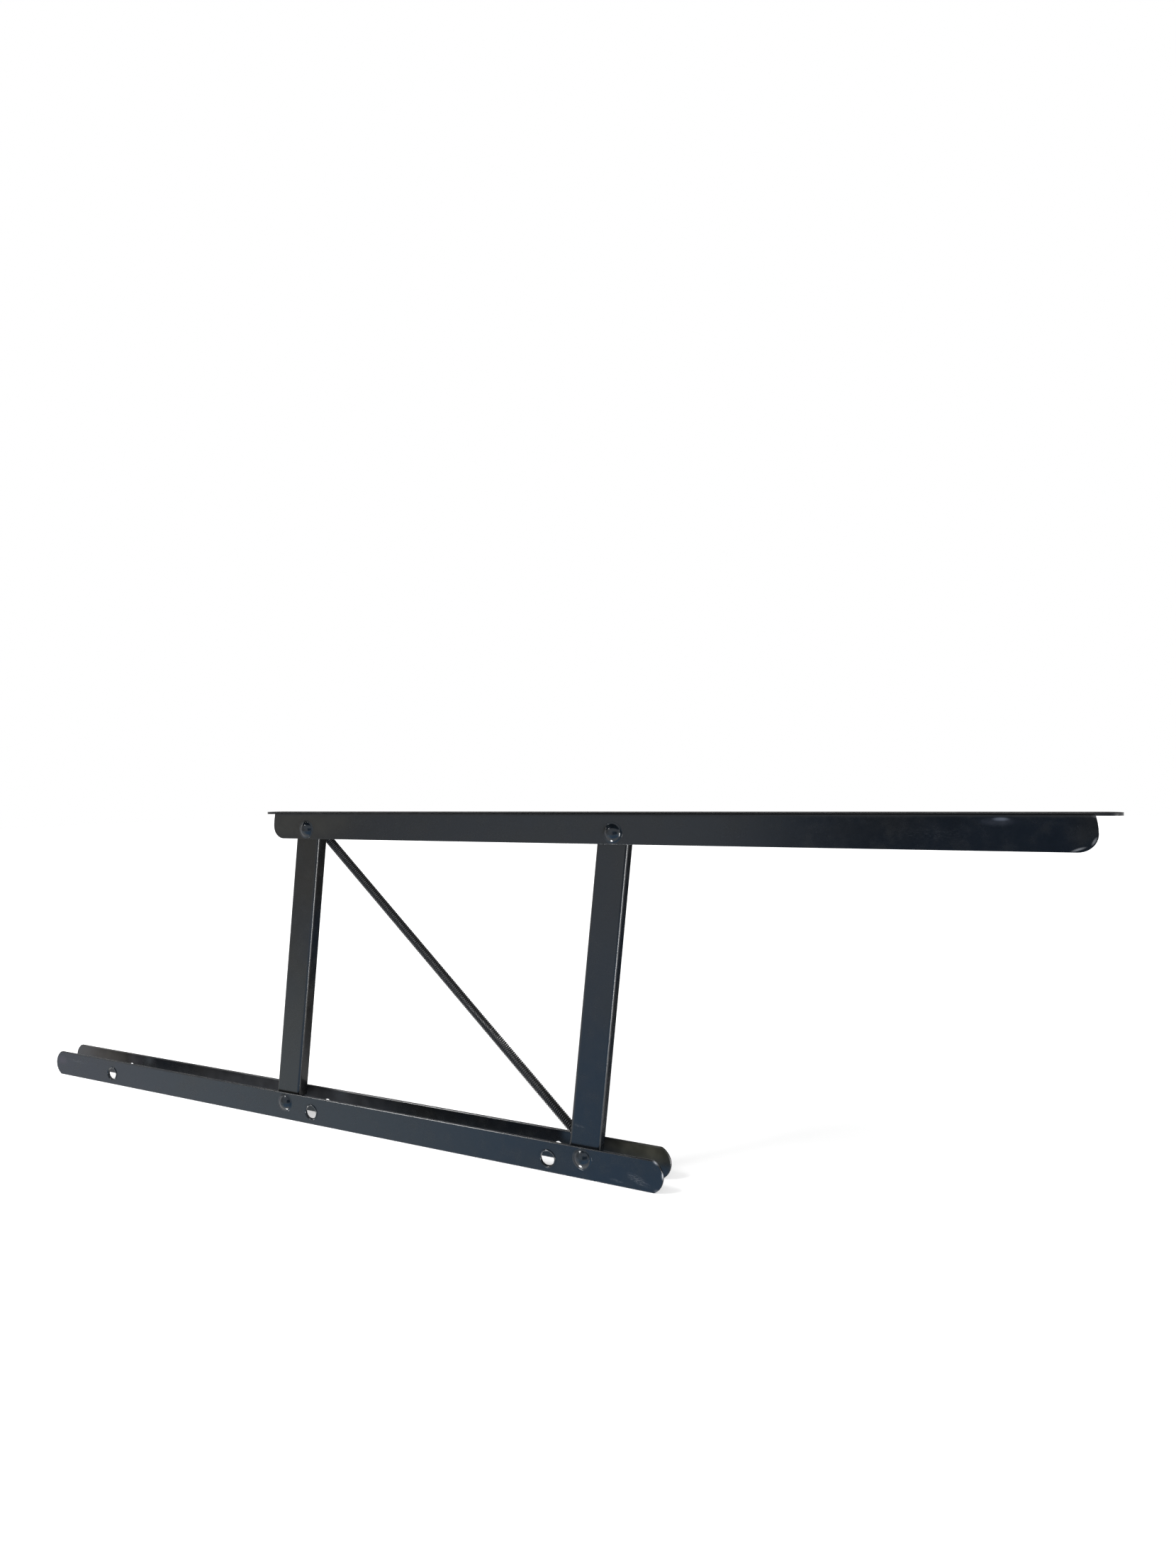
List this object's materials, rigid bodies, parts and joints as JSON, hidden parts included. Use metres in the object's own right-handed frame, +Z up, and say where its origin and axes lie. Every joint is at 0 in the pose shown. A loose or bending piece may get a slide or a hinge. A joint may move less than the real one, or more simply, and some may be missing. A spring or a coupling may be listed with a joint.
{
  "type": "lift top table mechanism",
  "caption": "Spring-assisted parallel linkage that raises a table top and keeps it level: two base bars, two channel links, a top channel and a tension spring.",
  "frame": {"origin": "centre of the screw hole next to the right base pivot, on the mounting face of the rear base bar", "axes": "+X along the bars towards the raised top channel's long end, +Y out of the mounting face into the frame board, +Z up"},
  "size_m": [0.6427, 0.0179, 0.1874],
  "materials": {
    "black_paint": "glossy black paint",
    "black_rivet": "glossy black paint over a domed head",
    "black_spring": "glossy black paint on close-wound wire",
    "washer_steel": "dull zinc"
  },
  "bodies": {
    "base": {"base_front_bar": "black_paint", "base_rear_bar": "black_paint", "base_rivets": "black_rivet", "front_washer_base_right": "washer_steel", "rear_washer_base_right": "washer_steel", "sleeve_base_right": "washer_steel", "front_washer_base_left": "washer_steel", "rear_washer_base_left": "washer_steel", "sleeve_base_left": "washer_steel"},
    "right_link": {"right_link": "black_paint"},
    "left_link": {"left_link": "black_paint"},
    "top_rail": {"top_channel": "black_paint", "top_rivets": "black_rivet", "front_washer_top_right": "washer_steel", "rear_washer_top_right": "washer_steel", "sleeve_top_right": "washer_steel", "front_washer_top_left": "washer_steel", "rear_washer_top_left": "washer_steel", "sleeve_top_left": "washer_steel"},
    "spring": {"lift_spring": "black_spring"}
  },
  "joints": [
    {"name": "lift", "type": "hinge", "parent": "base", "child": "right_link", "pos_m": [0.0195, -0.00775, 0.003], "axis": [0, -1, 0], "range_deg": [0, 92], "stiffness_Nm_per_rad": 0.6, "springref_deg": -28.65},
    {"name": "left_link_turn", "type": "hinge", "parent": "base", "child": "left_link", "pos_m": [-0.1765, -0.00775, 0.003], "axis": [0, -1, 0], "range_deg": [0, 92]},
    {"name": "top_rail_turn", "type": "hinge", "parent": "right_link", "child": "top_rail", "pos_m": [0.03823, -0.00775, 0.16995], "axis": [0, -1, 0], "range_deg": [-92, 0]},
    {"name": "spring_turn", "type": "hinge", "parent": "base", "child": "spring", "pos_m": [0.0195, -0.00775, 0.003], "axis": [0, -1, 0], "range_deg": [0, 41.3], "deforming": ["lift_spring"]}
  ],
  "couplings": [
    {"joint": "left_link_turn", "follows": "lift", "ratio": 1},
    {"joint": "top_rail_turn", "follows": "lift", "ratio": -1},
    {"joint": "spring_turn", "follows": "lift", "ratio": 0.4487}
  ]
}
